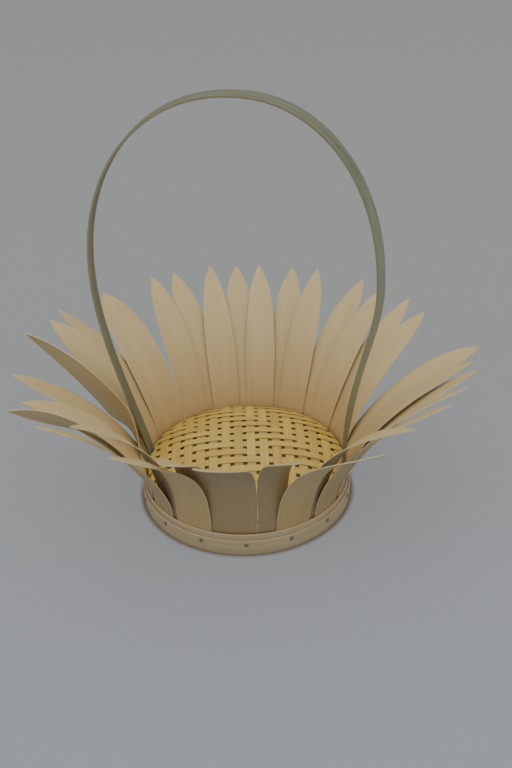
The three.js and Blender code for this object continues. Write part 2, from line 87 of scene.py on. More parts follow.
# Hoops
# Two plies of thin split wood, one bent round inside the other with the petals' feet inside
# them both. Each ply's ends are shaved thin and lapped, and the tacks hold the lap. Pieces
# that fit inside one another keep the fit between them.
HOOP_RADIUS = 0.100
HOOP_PLY = 0.0012
FIT = 0.0003
OUTER_HOOP_HEIGHT = 0.015
INNER_HOOP_HEIGHT = 0.021
HOOP_LAP = np.radians(19.5)
OUTER_LAP_AZIMUTH = -174
INNER_LAP_AZIMUTH = 90
SHAVED_END = 0.00025
LAP_STATIONS = 14
HOOP_STATIONS = 130
SHARP_ANGLE = np.radians(35)


def write_values(piece, name, values):
    """Keeps a number on every point of a piece, under a name that its material reads: one
    number for the whole piece or one for each point."""
    points = piece.data.attributes.new(name, "FLOAT", "POINT").data
    points.foreach_set("value", np.broadcast_to(values, len(points)).astype(np.float32))


def change_values(piece, name, rule):
    """Replaces a piece's numbers of one name by what a rule makes of them."""
    points = piece.data.attributes[name].data
    values = np.empty(len(points), dtype=np.float32)
    points.foreach_get("value", values)
    points.foreach_set("value", rule(values).astype(np.float32))


def on_both_faces(values):
    """Numbers on a strip's grid, one row for each station, for all the points round it: the
    front's, and then the same in reverse for the back."""
    return np.concatenate([values, values[:, ::-1]], axis=1).ravel()


def strip_object(name, middle, thickness, across, along, corner=0.0002):
    """A closed strip of wood from its middle surface, a grid of points with one row for each
    station along it and one column for each place across. Each point is moved half the
    thickness both ways along the surface's normal, less by the corner at the two edges, but
    never by more than four fifths of it. The UV map holds the distances across and along in
    metres. The values named edge are one on the sawn edges and nought on the faces, and those
    named outside are one on the face that the normal points out of."""
    stations, columns = middle.shape[:2]
    tangent_along = np.gradient(middle, axis=0)
    tangent_across = np.gradient(middle, axis=1)
    normal = np.cross(tangent_across, tangent_along)
    normal /= np.linalg.norm(normal, axis=2, keepdims=True)
    half = np.broadcast_to(np.reshape(thickness, (-1, 1)) / 2, (stations, columns)).copy()
    half[:, [0, -1]] -= np.minimum(corner, half[:, [0, -1]] * 0.8)
    front = middle + normal * half[..., None]
    back = middle - normal * half[..., None]
    points = np.concatenate([front, back[:, ::-1]], axis=1)
    ring = 2 * columns
    i = np.arange(stations - 1)[:, None] * ring
    k = np.arange(ring)[None, :]
    k_next = (k + 1) % ring
    sides = np.stack([i + k, i + k_next, i + ring + k_next, i + ring + k], axis=-1)
    j = np.arange(columns - 1)
    far = ring - 1 - j
    end = (stations - 1) * ring
    first_cap = np.stack([j + 1, j, far, far - 1], axis=-1)
    last_cap = np.stack([end + j, end + j + 1, end + far - 1, end + far], axis=-1)
    faces = np.concatenate([sides.reshape(-1, 4), first_cap, last_cap])
    flat = points.reshape(-1, 3)
    a, b, c, d = (flat[faces[:, n]] for n in range(4))
    if np.sum(a * np.cross(b, c)) + np.sum(a * np.cross(c, d)) < 0:
        faces = faces[:, ::-1]
    mesh = bpy.data.meshes.new(name)
    mesh.from_pydata(flat.tolist(), [], faces.tolist())
    corners = np.empty(len(mesh.loops), dtype=np.int32)
    mesh.loops.foreach_get("vertex_index", corners)
    distances = [on_both_faces(np.broadcast_to(values, (stations, columns)))[corners]
                 for values in (across, along)]
    surface = mesh.uv_layers.new(name="UVMap")
    surface.data.foreach_set("uv", np.stack(distances, axis=-1).ravel())
    mesh.shade_smooth()
    mesh.set_sharp_from_angle(angle=SHARP_ANGLE)
    piece = bpy.data.objects.new(name, mesh)
    bpy.context.scene.collection.objects.link(piece)
    is_edge = np.zeros((stations, ring))
    is_edge[:, [0, columns - 1, columns, ring - 1]] = 1.0
    write_values(piece, "edge", is_edge.ravel())
    is_outside = np.zeros((stations, ring))
    is_outside[:, :columns] = 1.0
    write_values(piece, "outside", is_outside.ravel())
    return piece


def wood_grain_group():
    """Straight split-wood grain on a UV map in metres: noise stretched along V, once as fine
    lines and once as broad streaks. Both are from nought to one, and mostly near a half."""
    group = bpy.data.node_groups.new("straight_grain", "ShaderNodeTree")
    socket = group.interface.new_socket
    socket(name="Surface", in_out="INPUT", socket_type="NodeSocketVector")
    socket(name="Line Spacing", in_out="INPUT", socket_type="NodeSocketFloat").default_value = 0.0008
    socket(name="Streak Spacing", in_out="INPUT", socket_type="NodeSocketFloat").default_value = 0.006
    socket(name="Lines", in_out="OUTPUT", socket_type="NodeSocketFloat")
    socket(name="Streaks", in_out="OUTPUT", socket_type="NodeSocketFloat")
    nodes, links = group.nodes, group.links
    inputs = nodes.new("NodeGroupInput")
    outputs = nodes.new("NodeGroupOutput")
    split = nodes.new("ShaderNodeSeparateXYZ")
    links.new(inputs.outputs["Surface"], split.inputs[0])
    for source, result, stretch, detail in (("Line Spacing", "Lines", 55.0, 3.0),
                                            ("Streak Spacing", "Streaks", 22.0, 2.0)):
        across = nodes.new("ShaderNodeMath")
        across.operation = "DIVIDE"
        links.new(split.outputs["X"], across.inputs[0])
        links.new(inputs.outputs[source], across.inputs[1])
        along = nodes.new("ShaderNodeMath")
        along.operation = "DIVIDE"
        links.new(split.outputs["Y"], along.inputs[0])
        links.new(inputs.outputs[source], along.inputs[1])
        slower = nodes.new("ShaderNodeMath")
        slower.operation = "DIVIDE"
        slower.inputs[1].default_value = stretch
        links.new(along.outputs[0], slower.inputs[0])
        join = nodes.new("ShaderNodeCombineXYZ")
        links.new(across.outputs[0], join.inputs["X"])
        links.new(slower.outputs[0], join.inputs["Y"])
        noise = nodes.new("ShaderNodeTexNoise")
        noise.inputs["Scale"].default_value = 1.0
        noise.inputs["Detail"].default_value = detail
        noise.inputs["Roughness"].default_value = 0.6
        links.new(join.outputs[0], noise.inputs["Vector"])
        links.new(noise.outputs["Fac"], outputs.inputs[result])
    return group


straight_grain = wood_grain_group()

# The noise of the grain lies nearly all between these two values
GRAIN_LEAST = 0.3
GRAIN_MOST = 0.7
GRAIN_ROUGHNESS_SPREAD = 0.08


def wood_material(name, dark, middle, light, edge_colour, roughness, line_spacing, streak_spacing,
                  streak_share=0.6, relief=0.00006, foot_shade_colour=None, foot_shade_reach=0.1, tone_spread=0.5,
                  outside_shade_colour=None):
    """Split wood: a colour ramp read by streaks and fine lines and moved by the piece's tone,
    with the edge colour where the edge values are one. The fine lines also set the roughness
    and the bump. Two colours of painted shade multiply the ramp's: the foot's, warm like light
    thrown back by the yellow floor, and the outside face's, as far as the outside values say."""
    material = bpy.data.materials.new(name)
    material.use_nodes = True
    nodes, links = material.node_tree.nodes, material.node_tree.links
    shader = nodes["Principled BSDF"]
    surface = nodes.new("ShaderNodeUVMap")
    surface.uv_map = "UVMap"
    grain = nodes.new("ShaderNodeGroup")
    grain.node_tree = straight_grain
    grain.inputs["Line Spacing"].default_value = line_spacing
    grain.inputs["Streak Spacing"].default_value = streak_spacing
    links.new(surface.outputs[0], grain.inputs["Surface"])
    shade = nodes.new("ShaderNodeMix")
    shade.data_type = "FLOAT"
    shade.inputs["Factor"].default_value = streak_share
    links.new(grain.outputs["Lines"], shade.inputs["A"])
    links.new(grain.outputs["Streaks"], shade.inputs["B"])
    tone = nodes.new("ShaderNodeAttribute")
    tone.attribute_name = "tone"
    spread = nodes.new("ShaderNodeMath")
    spread.operation = "MULTIPLY_ADD"
    spread.inputs[1].default_value = tone_spread
    links.new(tone.outputs["Fac"], spread.inputs[0])
    links.new(shade.outputs["Result"], spread.inputs[2])
    ramp = nodes.new("ShaderNodeValToRGB")
    ramp.color_ramp.elements[0].position = GRAIN_LEAST
    ramp.color_ramp.elements[0].color = (*dark, 1.0)
    ramp.color_ramp.elements[1].position = GRAIN_MOST
    ramp.color_ramp.elements[1].color = (*light, 1.0)
    ramp.color_ramp.elements.new(0.5).color = (*middle, 1.0)
    links.new(spread.outputs[0], ramp.inputs[0])
    colour = ramp.outputs["Color"]
    # Painted shade near the foot, warm like light thrown back by the yellow floor
    if foot_shade_colour:
        along = nodes.new("ShaderNodeSeparateXYZ")
        links.new(surface.outputs[0], along.inputs[0])
        near_foot = nodes.new("ShaderNodeMapRange")
        near_foot.inputs["From Min"].default_value = foot_shade_reach
        near_foot.inputs["From Max"].default_value = 0.0
        links.new(along.outputs["Y"], near_foot.inputs["Value"])
        foot_shade_mix = nodes.new("ShaderNodeMix")
        foot_shade_mix.data_type = "RGBA"
        foot_shade_mix.blend_type = "MULTIPLY"
        foot_shade_mix.inputs["B"].default_value = (*foot_shade_colour, 1.0)
        links.new(near_foot.outputs["Result"], foot_shade_mix.inputs["Factor"])
        links.new(colour, foot_shade_mix.inputs["A"])
        colour = foot_shade_mix.outputs["Result"]
    # Painted shade on the outside face, as much as the outside values say
    if outside_shade_colour:
        on_outside = nodes.new("ShaderNodeAttribute")
        on_outside.attribute_name = "outside"
        outside_shade_mix = nodes.new("ShaderNodeMix")
        outside_shade_mix.data_type = "RGBA"
        outside_shade_mix.blend_type = "MULTIPLY"
        outside_shade_mix.inputs["B"].default_value = (*outside_shade_colour, 1.0)
        links.new(on_outside.outputs["Fac"], outside_shade_mix.inputs["Factor"])
        links.new(colour, outside_shade_mix.inputs["A"])
        colour = outside_shade_mix.outputs["Result"]
    on_edge = nodes.new("ShaderNodeAttribute")
    on_edge.attribute_name = "edge"
    trim = nodes.new("ShaderNodeMix")
    trim.data_type = "RGBA"
    trim.inputs["B"].default_value = (*edge_colour, 1.0)
    links.new(on_edge.outputs["Fac"], trim.inputs["Factor"])
    links.new(colour, trim.inputs["A"])
    links.new(trim.outputs["Result"], shader.inputs["Base Color"])
    rubbed = nodes.new("ShaderNodeMapRange")
    rubbed.inputs["From Min"].default_value = GRAIN_LEAST
    rubbed.inputs["From Max"].default_value = GRAIN_MOST
    rubbed.inputs["To Min"].default_value = roughness + GRAIN_ROUGHNESS_SPREAD
    rubbed.inputs["To Max"].default_value = roughness - GRAIN_ROUGHNESS_SPREAD
    links.new(grain.outputs["Lines"], rubbed.inputs["Value"])
    links.new(rubbed.outputs["Result"], shader.inputs["Roughness"])
    bump = nodes.new("ShaderNodeBump")
    bump.inputs["Distance"].default_value = relief
    bump.inputs["Strength"].default_value = 0.8
    links.new(grain.outputs["Lines"], bump.inputs["Height"])
    links.new(bump.outputs["Normal"], shader.inputs["Normal"])
    return material


def columns_across(count, margin=0.04):
    """Places across a strip from -1 to 1: evenly spaced, with one more close to each edge for
    the rounded corner."""
    inner = np.linspace(-1 + margin, 1 - margin, count)
    return np.concatenate([[-1.0], inner, [1.0]])


def bent_hoop(name, radius, height, lap_azimuth):
    """A ply carried once round the axis and one lap further. Over the first lap it thins from
    its outer face, and over the last lap from its inner face, so that the ends lie together."""
    angle = np.concatenate([np.linspace(0, HOOP_LAP, LAP_STATIONS),
                            np.linspace(HOOP_LAP, 2 * np.pi, HOOP_STATIONS)[1:],
                            np.linspace(2 * np.pi, 2 * np.pi + HOOP_LAP, LAP_STATIONS)[1:]])
    into_lap = np.clip(angle / HOOP_LAP, 0, 1)
    past_lap = np.clip((angle - 2 * np.pi) / HOOP_LAP, 0, 1)
    thickness = HOOP_PLY - (HOOP_PLY - SHAVED_END) * np.maximum(1 - into_lap, past_lap)
    thinned_outside = (HOOP_PLY - thickness) * (into_lap < 1)
    thinned_inside = (HOOP_PLY - thickness) * (past_lap > 0)
    middle_radius = radius - HOOP_PLY / 2 - thinned_outside / 2 + thinned_inside / 2
    place = columns_across(5, 0.09)
    azimuth = angle + np.radians(lap_azimuth)
    rise = height * (1 + place) / 2
    middle = np.empty((len(angle), len(place), 3))
    middle[..., 0] = (middle_radius * np.cos(azimuth))[:, None]
    middle[..., 1] = (middle_radius * np.sin(azimuth))[:, None]
    middle[..., 2] = rise[None, :]
    middle += AXIS
    hoop = strip_object(name, middle, thickness, rise[None, :], (angle * radius)[:, None])
    hoop.data.materials.append(hoop_wood)
    write_values(hoop, "tone", 0.0)
    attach(hoop, "root")
    return hoop


hoop_wood = wood_material("hoop_wood", (0.38, 0.30, 0.168), (0.46, 0.365, 0.208),
                          (0.53, 0.43, 0.255), edge_colour=(0.80, 0.57, 0.35), roughness=0.55,
                          line_spacing=0.0007, streak_spacing=0.004)
outer_ply = bent_hoop("outer_hoop_ply", HOOP_RADIUS, OUTER_HOOP_HEIGHT, OUTER_LAP_AZIMUTH)
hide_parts("outer_hoop")
inner_ply = bent_hoop("inner_hoop_ply", HOOP_RADIUS - HOOP_PLY - FIT, INNER_HOOP_HEIGHT,
                      INNER_LAP_AZIMUTH)
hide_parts("inner_hoop")


# Petals
# Pointed splints of pale wood, shaved thin and smooth, bent outwards and set in two rings by
# hand, so that no two lean or sweep round quite alike. Their feet stand in the hoop, a seam
# apart. The root is the short bend above the hoop, and the full width begins at the waist.
PETAL_THICKNESS = 0.0009
PETAL_LENGTH = 0.168
PETAL_ROOT = 0.018
FOOT_LIFT = 0.0015
PETAL_SEAM = 0.0038
PETAL_WAIST = 0.45
PETAL_TIP_WIDTH = 0.0006
PETAL_TIP_POWER = 0.9
PETAL_BLUNTNESS = 5.0
# Most petals' share of the painted shade on the outside face
PETAL_OUTSIDE_SHADE_SHARE = 0.45
PETAL_TONE_SPREAD = 0.25
SWEEP_POWER = 1.3
OUTER_FOOT_RADIUS = HOOP_RADIUS - 2 * (HOOP_PLY + FIT) - PETAL_THICKNESS / 2
INNER_FOOT_RADIUS = OUTER_FOOT_RADIUS - PETAL_THICKNESS - FIT
FOOT_STATIONS = 5
BLADE_STATIONS = 46
STATION_POWER = 0.9
KNEE_STEPS = 40

# How far a petal's tip is bent outwards, and how much of that is a lean at its root, in
# degrees and for every 20 degrees of azimuth
FLARE = np.array([74, 68, 68, 67, 69, 67, 67, 66, 63, 77, 68, 64, 67, 70, 67, 71, 68, 72], float)
ROOT_LEAN = np.array([21, 15, 15, 14, 16, 15, 14, 16, 12, 22, 16, 10, 0, 0, 0, 2, 10, 18], float)

# Every petal's azimuth and how far its tip is swept round the hoop, in degrees
INNER_PETALS = (
    (-98, 2), (-76, -2), (-53, 10), (-30, 13.5), (-8, 8.5), (15, 11), (38, 5), (58, 7.5), (79, 5),
    (101, -2), (121, -3.5), (138.5, -4), (162, -2.5), (183, -8.5), (204.5, -10), (222, -3), (241, 6))
OUTER_PETALS = (
    (-64.5, 8.5), (-42, 13.5), (-19, 16), (3, 5), (26, 8.5), (48, 3.5), (69, 5),
    (90, 1), (110, 0), (152, -1), (173, -14.5), (194, -6.5), (216, -5.5), (239.5, -4))

# Each ring's petals, with the radius and width of their feet, their full width, and how much
# further than the lists say they flare and lean
PETAL_RINGS = (
    ("petal_inner", INNER_PETALS, INNER_FOOT_RADIUS, 0.0250, 0.0300, 0.0, 0.0),
    ("petal_outer", OUTER_PETALS, OUTER_FOOT_RADIUS, 0.0355, 0.0325, 2.0, 2.8),
)

# Petals unlike the rest of their ring, in metres and degrees. Flare and lean take the place
# of the lists' values, and more_flare and more_lean are added to them. A petal with a knee
# has no lean, and bends outwards between those two distances from the hoop's top. Bluntness
# is how full the point is, and outside_shade_share is the share of painted shade on the
# outside face, more where that face lies in a dark slot or recess and less where it is well
# lit. A warp turns the blade by so many degrees about a line along it, where the edges are
# -1 and 1, between two shares of its length.
ODD_PETALS = {
    "petal_inner_01": {"foot_width": 0.041, "width": 0.046, "sweep": -2, "flare": 54,
                       "knee": (0.010, 0.120), "bluntness": 6.5, "outside_shade_share": 0.67},
    "petal_inner_02": {"azimuth": -76.8, "foot_width": 0.025, "width": 0.0285, "sweep": 0,
                       "flare": 55, "knee": (0.020, 0.120), "outside_shade_share": 0.67},
    "petal_inner_03": {"lean": 0, "flare": 72, "outside_shade_share": 0.9},
    "petal_inner_05": {"more_lean": -1.5, "more_flare": 1},
    "petal_inner_06": {"more_lean": -8, "more_flare": 7},
    "petal_inner_08": {"azimuth": 60, "sweep": 5.5},
    "petal_inner_09": {"azimuth": 80, "sweep": 4},
    "petal_inner_12": {"azimuth": 141, "foot_width": 0.036, "width": 0.046, "sweep": -6.5,
                       "bluntness": 7},
    "petal_inner_13": {"foot_width": 0.030, "width": 0.033, "length": 0.173, "more_flare": -3.5},
    "petal_inner_14": {"foot_width": 0.030, "width": 0.033, "more_lean": 2.5},
    "petal_inner_15": {"flare": 88, "lean": 11, "sweep": -14, "warp": (70, 0, 0.25, 1.0)},
    "petal_inner_16": {"lean": 0, "flare": 66, "outside_shade_share": 0.9},
    "petal_inner_17": {"azimuth": 239, "foot_width": 0.027, "width": 0.032, "sweep": 11,
                       "flare": 55, "knee": (0.013, 0.123), "length": 0.170, "bluntness": 7},
    "petal_outer_01": {"azimuth": -65, "foot_width": 0.034, "width": 0.038, "sweep": 9, "flare": 58,
                       "knee": (-0.030, 0.150), "warp": (-11, -1, 0.3, 0.8), "outside_shade_share": 0.3},
    "petal_outer_02": {"foot_width": 0.031, "sweep": 14, "more_flare": -4},
    "petal_outer_04": {"length": 0.177, "lean": 22.5, "flare": 76, "bluntness": 8},
    "petal_outer_10": {"length": 0.174, "sweep": 1.5, "more_flare": -7},
    "petal_outer_11": {"length": 0.178, "flare": 62, "lean": 19, "sweep": -7,
                       "warp": (65, -0.1, 0.06, 0.40)},
    "petal_outer_12": {"length": 0.150, "more_lean": 6, "more_flare": -1,
                       "warp": (-25, 1, 0.2, 0.5)},
    "petal_outer_13": {"foot_width": 0.030, "more_lean": 4, "more_flare": -4},
    "petal_outer_14": {"azimuth": 239, "foot_width": 0.036, "width": 0.039, "sweep": -3.5,
                       "flare": 52, "knee": (-0.008, 0.118), "outside_shade_share": 0.3},
}


def around(values, azimuth):
    """A smooth closed curve through values at even steps round the hoop, read at azimuths in
    degrees: each span is the cubic whose slope at a value follows the two beside it."""
    place = np.mod(azimuth, 360.0) * len(values) / 360.0
    k = np.floor(place).astype(int)
    t = place - k
    a, b, c, d = (values[(k + offset) % len(values)] for offset in (-1, 0, 1, 2))
    return b + ((c - a) * t + (2 * a - 5 * b + 4 * c - d) * t**2 + (3 * (b - c) + d - a) * t**3) / 2


def arc_end(radius, height, slope, turn, length):
    """The far end of an arc in the radial plane, from its start, its slope from the vertical,
    how far it turns and how long it is."""
    chord = length * np.sinc(turn / 2 / np.pi)
    heading = slope + turn / 2
    return radius + chord * np.sin(heading), height + chord * np.cos(heading), slope + turn


def smooth_step(value, low, high):
    """Nought below one value and one above another, with a level start and end."""
    t = np.clip((value - low) / (high - low), 0.0, 1.0)
    return t * t * (3 - 2 * t)


def kneed_profile(petal, azimuth, distance):
    """Where a petal lies that bends outwards between two distances along it and is straight
    before and after them: the mean direction of many short steps, times the distance."""
    walked = np.maximum(distance + np.zeros_like(azimuth), 0.0)
    step = (np.arange(KNEE_STEPS) + 0.5) / KNEE_STEPS
    slopes = np.radians(petal["flare"]) * smooth_step(walked[..., None] * step, *petal["knee"])
    radius = petal["foot_radius"] + walked * np.mean(np.sin(slopes), axis=-1)
    height = (INNER_HOOP_HEIGHT + np.minimum(distance, 0.0)
              + walked * np.mean(np.cos(slopes), axis=-1))
    return radius, height, np.radians(petal["flare"]) * smooth_step(walked, *petal["knee"])


def petal_profile(petal, azimuth, distance):
    """Where a petal's middle surface lies in the radial plane: straight up to the hoop's top,
    a short tight arc at the root, and one long arc to the tip."""
    if "knee" in petal:
        return kneed_profile(petal, azimuth, distance)
    flare = petal.get("flare", around(FLARE, azimuth) + petal["more_flare"])
    lean = petal.get("lean", around(ROOT_LEAN, azimuth) + petal["more_lean"])
    bend = np.radians(flare - lean + np.zeros_like(azimuth)) / PETAL_LENGTH
    root = np.clip(distance, 0.0, PETAL_ROOT)
    start = INNER_HOOP_HEIGHT + np.minimum(distance, 0.0)
    radius, height, slope = arc_end(petal["foot_radius"], start, 0.0,
                                    (np.radians(lean) / PETAL_ROOT + bend) * root, root)
    rest = np.maximum(distance - PETAL_ROOT, 0.0)
    return arc_end(radius, height, slope, bend * rest, rest)


def petal_half_width(petal, share):
    """Half the width at a share of the length: the foot's width runs into the full width at
    the waist, and the outline closes to a point as a power of one less a power of the share."""
    waist = np.maximum(0.0, 1 - share / PETAL_WAIST) ** 2
    width = petal["width"] + (petal["foot_width"] - petal["width"]) * waist
    width = width * (1 - share ** petal["bluntness"]) ** PETAL_TIP_POWER
    return np.maximum(width, PETAL_TIP_WIDTH) / 2


def petal_surface(petal, distance, place):
    """Points of the petal's middle surface and its lengthwise direction there. Each place
    across has its own azimuth, and is swept round by a power of the share of the length."""
    share = np.maximum(distance, 0.0) / petal["length"]
    centre_radius = petal_profile(petal, petal["azimuth"], distance)[0]
    half_angle = np.degrees(petal_half_width(petal, share) / centre_radius)
    base = petal["azimuth"] + half_angle[:, None] * place[None, :]
    radius, height, slope = petal_profile(petal, base, distance[:, None])
    angle = np.radians(base + petal["sweep"] * share[:, None] ** SWEEP_POWER)
    outwards = np.stack([np.cos(angle), np.sin(angle)], axis=-1)
    points = np.concatenate([radius[..., None] * outwards, height[..., None]], axis=-1)
    along = np.concatenate([np.sin(slope)[..., None] * outwards, np.cos(slope)[..., None]], axis=-1)
    return points, along


def warped(petal, points, distance, turn, about, begins, full):
    """Turns each row of a petal about the petal's length at one place across it, by an angle
    that grows between two shares of the length."""
    share = np.maximum(distance, 0.0) / petal["length"]
    angle = (np.radians(turn) * smooth_step(share, begins, full))[:, None, None]
    still, along = petal_surface(petal, distance, np.array([about]))
    arm = points - still
    lengthwise = np.sum(arm * along, axis=2, keepdims=True) * along
    sideways = np.cross(np.broadcast_to(along, arm.shape), arm)
    return still + arm * np.cos(angle) + sideways * np.sin(angle) + lengthwise * (1 - np.cos(angle))


petal_wood = wood_material("petal_wood", (0.56, 0.41, 0.19), (0.61, 0.46, 0.222),
                           (0.65, 0.51, 0.26), edge_colour=(0.70, 0.58, 0.35), roughness=0.55,
                           line_spacing=0.0006, streak_spacing=0.009, streak_share=0.45,
                           # the foot colour is painted shade, warm like light thrown back by the
                           # yellow floor
                           foot_shade_colour=(0.92, 0.84, 0.74), foot_shade_reach=0.10, tone_spread=0.2,
                           # the outside colour is painted shade on the outside faces
                           outside_shade_colour=(0.37, 0.40, 0.51))
petal_random = np.random.default_rng(7)

for ring_name, petals, foot_radius, ring_foot_width, ring_width, more_flare, more_lean in PETAL_RINGS:
    azimuths = np.array([azimuth for azimuth, _ in petals], float)
    for number, (azimuth, sweep) in enumerate(petals, 1):
        name = f"{ring_name}_{number:02d}"
        apart = np.abs(np.mod(azimuths - azimuth + 180, 360) - 180)
        nearest = np.radians(np.min(apart[apart > 0]))
        petal = {"azimuth": azimuth, "sweep": sweep, "foot_radius": foot_radius,
                 "foot_width": min(ring_foot_width, nearest * foot_radius - PETAL_SEAM),
                 "width": ring_width, "length": PETAL_LENGTH, "bluntness": PETAL_BLUNTNESS,
                 "outside_shade_share": PETAL_OUTSIDE_SHADE_SHARE}
        odd = ODD_PETALS.get(name, {})
        petal.update(odd)
        petal["more_flare"] = more_flare + odd.get("more_flare", 0.0)
        petal["more_lean"] = more_lean + odd.get("more_lean", 0.0)
        foot = np.linspace(FOOT_LIFT - INNER_HOOP_HEIGHT, 0, FOOT_STATIONS)[:-1]
        leaf = petal["length"] * np.linspace(0, 1, BLADE_STATIONS) ** STATION_POWER
        distance = np.concatenate([foot, leaf])
        place = columns_across(9, 0.02)
        middle = petal_surface(petal, distance, place)[0]
        if "warp" in petal:
            middle = warped(petal, middle, distance, *petal["warp"])
        share = np.maximum(distance, 0.0) / petal["length"]
        across = petal_half_width(petal, share)[:, None] * place[None, :]
        blade = strip_object(name + "_splint", middle + AXIS, PETAL_THICKNESS,
                             petal_random.uniform(0, 50) + across, distance[:, None])
        blade.data.materials.append(petal_wood)
        write_values(blade, "tone", petal_random.uniform(-PETAL_TONE_SPREAD, PETAL_TONE_SPREAD))
        # Painted shade on the outside face, as much as each petal's share says
        change_values(blade, "outside", lambda outside: outside * petal["outside_shade_share"])
        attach(blade, "root")
        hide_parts(name)


# Liner
# A hidden strip in two halves, inside the petals' feet and between the handle's ends, that
# the tacks bite into and the floor's edge stands on. It is as thick as the handle's strip and
# the thin space behind it, since that strip is flat and the wall is round.
LINER_BOTTOM = 0.0006
LINER_TOP = 0.0295
LINER_INSIDE = 0.09181
LINER_OUTSIDE = 0.0946
LINER_STATIONS = 60
LINER_CORNER = 0.0004
LINER_TONE = -0.1
HANDLE_WIDTH = 0.012
HANDLE_TURN = np.radians(-12.2)
HANDLE_HALF_GAP = np.arcsin((HANDLE_WIDTH / 2 + FIT) / LINER_INSIDE)

for liner_name, turned in (("liner_back", 0.0), ("liner_front", np.pi)):
    angle = np.linspace(HANDLE_HALF_GAP, np.pi - HANDLE_HALF_GAP, LINER_STATIONS)
    azimuth = angle + HANDLE_TURN + turned
    place = columns_across(5, 0.05)
    rise = LINER_BOTTOM + (LINER_TOP - LINER_BOTTOM) * (1 + place) / 2
    radius = (LINER_INSIDE + LINER_OUTSIDE) / 2
    middle = np.empty((len(angle), len(place), 3))
    middle[..., 0] = radius * np.cos(azimuth)[:, None]
    middle[..., 1] = radius * np.sin(azimuth)[:, None]
    middle[..., 2] = rise[None, :]
    grain_shift = 3 * turned
    liner = strip_object(liner_name + "_strip", middle + AXIS, LINER_OUTSIDE - LINER_INSIDE,
                         rise[None, :] + grain_shift, (angle * radius)[:, None], LINER_CORNER)
    liner.data.materials.append(hoop_wood)
    write_values(liner, "tone", LINER_TONE)
    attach(liner, "root")
    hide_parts(liner_name)


# Handle
# One strip of wood, bent by steaming and stained a grey green, whose two ends stand in the
# wall of the hoop between the liner's halves. It leans out to its widest and closes in a
# round arch, and it has turned a little about its own length on the right.
HANDLE_THICKNESS = 0.0026
HANDLE_CORNER = 0.0005
HANDLE_TOP = 0.388
HANDLE_WIDEST_HEIGHT = 0.222
HANDLE_FOOT_RADIUS = 0.09311
HANDLE_ARCH_POWER = 2.12
HANDLE_FOOT_STATIONS = 5
HANDLE_LEG_STATIONS = 50
HANDLE_ARCH_STATIONS = 60

# Left and right: the side, how far out the widest point is, and how far the leg's curve has
# its control points above its lower end and below its upper end
HANDLE_REACH_RIGHT = 0.122
HANDLE_SIDES = ((-1, 0.134, 0.030, 0.080), (1, HANDLE_REACH_RIGHT, 0.110, 0.050))

# The strip turns about its length between two heights, and most on the right. Low on the
# right it is also a little paler.
HANDLE_TWIST = np.radians(24)
TWIST_BEGINS = 0.034
TWIST_FULL = 0.102
HANDLE_TONE = -0.1
PALER_TONE = 0.7
PALER_FROM = 0.33
PALER_OVER = 0.1


def handle_side(side, reach, rise, settle):
    """One side's centre line in the handle's plane: a straight foot, a cubic curve that
    leaves the hoop upright and is upright again at its widest, and a quarter of a
    superellipse to the top."""
    t = np.linspace(0, 1, HANDLE_LEG_STATIONS)
    start = np.array([HANDLE_FOOT_RADIUS, INNER_HOOP_HEIGHT])
    points = [start, start + [0, rise], np.array([reach, HANDLE_WIDEST_HEIGHT - settle]),
              np.array([reach, HANDLE_WIDEST_HEIGHT])]
    weights = [(1 - t)**3, 3 * (1 - t)**2 * t, 3 * (1 - t) * t**2, t**3]
    leg = sum(w[:, None] * p for w, p in zip(weights, points))
    foot_height = np.linspace(FOOT_LIFT, INNER_HOOP_HEIGHT, HANDLE_FOOT_STATIONS)[:-1]
    foot = np.stack([np.full(len(foot_height), HANDLE_FOOT_RADIUS), foot_height], axis=-1)
    angle = np.linspace(0, np.pi / 2, HANDLE_ARCH_STATIONS)[1:]
    power = 2 / HANDLE_ARCH_POWER
    height = HANDLE_TOP - HANDLE_THICKNESS / 2 - HANDLE_WIDEST_HEIGHT
    arch = np.stack([reach * np.maximum(np.cos(angle), 0.0)**power,
                     HANDLE_WIDEST_HEIGHT + height * np.sin(angle)**power], axis=-1)
    arch[-1, 0] = 0.0
    line = np.concatenate([foot, leg, arch])
    return np.stack([side * line[:, 0], np.zeros(len(line)), line[:, 1]], axis=-1)


line = np.concatenate([handle_side(*HANDLE_SIDES[0]), handle_side(*HANDLE_SIDES[1])[::-1][1:]])
run = np.gradient(line, axis=0)
run /= np.linalg.norm(run, axis=1, keepdims=True)
rightward = (1 + np.clip(line[:, 0] / HANDLE_REACH_RIGHT, -1, 1)) / 2
twist = HANDLE_TWIST * smooth_step(line[:, 2], TWIST_BEGINS, TWIST_FULL) * rightward**2
level = np.broadcast_to(np.array([0.0, 1.0, 0.0]), line.shape)
side_on = np.cross(run, level)
across = level * np.cos(twist)[:, None] + side_on * np.sin(twist)[:, None]
place = columns_across(5, 0.1)
middle = line[:, None] + across[:, None] * (place * HANDLE_WIDTH / 2)[None, :, None]
turned_x = middle[..., 0] * np.cos(HANDLE_TURN) - middle[..., 1] * np.sin(HANDLE_TURN)
turned_y = middle[..., 0] * np.sin(HANDLE_TURN) + middle[..., 1] * np.cos(HANDLE_TURN)
middle = np.stack([turned_x, turned_y, middle[..., 2]], axis=-1)
length = np.concatenate([[0], np.cumsum(np.linalg.norm(np.diff(line, axis=0), axis=1))])
handle = strip_object("handle_strip", middle + AXIS, HANDLE_THICKNESS,
                      (place * HANDLE_WIDTH / 2)[None, :], length[:, None], HANDLE_CORNER)
green_wood = wood_material("green_wood", (0.13, 0.135, 0.078), (0.19, 0.195, 0.12),
                           (0.26, 0.265, 0.17), edge_colour=(0.25, 0.235, 0.14), roughness=0.5,
                           line_spacing=0.0007, streak_spacing=0.003)
handle.data.materials.append(green_wood)
low_on_right = rightward**2 * np.clip((PALER_FROM - line[:, 2]) / PALER_OVER, 0, 1)
write_values(handle, "tone", np.repeat(HANDLE_TONE + PALER_TONE * low_on_right, 2 * len(place)))
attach(handle, "root")
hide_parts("handle")


